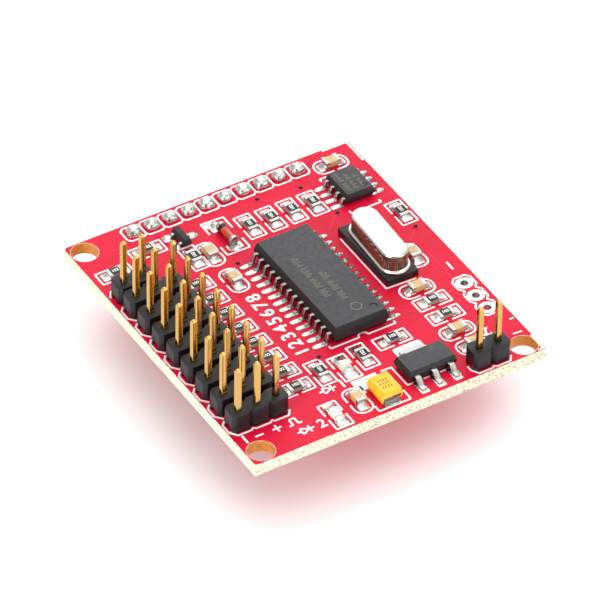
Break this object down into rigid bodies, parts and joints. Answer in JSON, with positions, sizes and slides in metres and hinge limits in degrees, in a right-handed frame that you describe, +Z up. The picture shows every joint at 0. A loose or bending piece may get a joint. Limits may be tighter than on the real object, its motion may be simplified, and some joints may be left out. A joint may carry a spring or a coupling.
{
  "type": "servo driver board",
  "caption": "Small red circuit board with rows of three-pin servo headers, a controller chip, crystal, regulator and supply headers, for driving hobby servos.",
  "frame": {"origin": "centre of the board's underside", "axes": "+Z up through the component side, +X along the front edge towards the logic supply header, +Y from the front edge to the back edge, with the servo headers along the -X edge"},
  "size_m": [0.0398, 0.0444, 0.0188],
  "materials": {
    "red_solder_mask": "red solder mask over glass-epoxy laminate, satin gloss",
    "black_header_plastic": "moulded black nylon",
    "gold_plated_pin": "gold-plated square pin",
    "chip_moulding": "dark grey moulding compound, matte",
    "tinned_lead": "bright tin plate",
    "crystal_carrier": "black moulded carrier",
    "nickel_can": "drawn nickel silver, polished",
    "yellow_epoxy": "yellow moulded epoxy",
    "clear_led_epoxy": "clear to milky epoxy lens",
    "tan_ceramic": "fired tan ceramic with tinned ends",
    "diode_glass": "red-tinted glass tube with metal end caps"
  },
  "bodies": {
    "root": {"circuit_board": "red_solder_mask", "servo_header_1": "black_header_plastic", "servo_header_2": "black_header_plastic", "servo_header_3": "black_header_plastic", "servo_header_4": "black_header_plastic", "servo_header_5": "black_header_plastic", "servo_header_6": "black_header_plastic", "servo_header_7": "black_header_plastic", "servo_header_8": "black_header_plastic", "supply_header": "black_header_plastic", "logic_header": "black_header_plastic", "lower_header": "black_header_plastic", "ground_rail": "gold_plated_pin", "power_rail": "gold_plated_pin", "signal_pin_1": "gold_plated_pin", "signal_pin_2": "gold_plated_pin", "signal_pin_3": "gold_plated_pin", "signal_pin_4": "gold_plated_pin", "signal_pin_5": "gold_plated_pin", "signal_pin_6": "gold_plated_pin", "signal_pin_7": "gold_plated_pin", "signal_pin_8": "gold_plated_pin", "logic_pin_1": "gold_plated_pin", "logic_pin_2": "gold_plated_pin", "lower_pin_1": "gold_plated_pin", "lower_pin_2": "gold_plated_pin", "lower_pin_3": "gold_plated_pin", "lower_pin_4": "gold_plated_pin", "lower_pin_5": "gold_plated_pin", "lower_pin_6": "gold_plated_pin", "lower_pin_7": "gold_plated_pin", "lower_pin_8": "gold_plated_pin", "lower_pin_9": "gold_plated_pin", "lower_pin_10": "gold_plated_pin", "controller_body": "chip_moulding", "memory_body": "chip_moulding", "regulator_body": "chip_moulding", "transistor_body": "chip_moulding", "controller_leads_left": "tinned_lead", "controller_leads_right": "tinned_lead", "memory_leads_left": "tinned_lead", "memory_leads_right": "tinned_lead", "regulator_leads": "tinned_lead", "regulator_tab": "tinned_lead", "tantalum_terminal_front": "tinned_lead", "tantalum_terminal_back": "tinned_lead", "crystal_base": "crystal_carrier", "crystal_can": "nickel_can", "tantalum_body": "yellow_epoxy", "status_led": "clear_led_epoxy", "power_led": "clear_led_epoxy", "memory_capacitor": "tan_ceramic", "reset_capacitor": "tan_ceramic", "controller_capacitor": "tan_ceramic", "crystal_capacitor_right": "tan_ceramic", "crystal_capacitor_front": "tan_ceramic", "filter_capacitor": "tan_ceramic", "input_capacitor": "tan_ceramic", "output_capacitor": "tan_ceramic", "glass_diode": "diode_glass"}
  },
  "joints": []
}
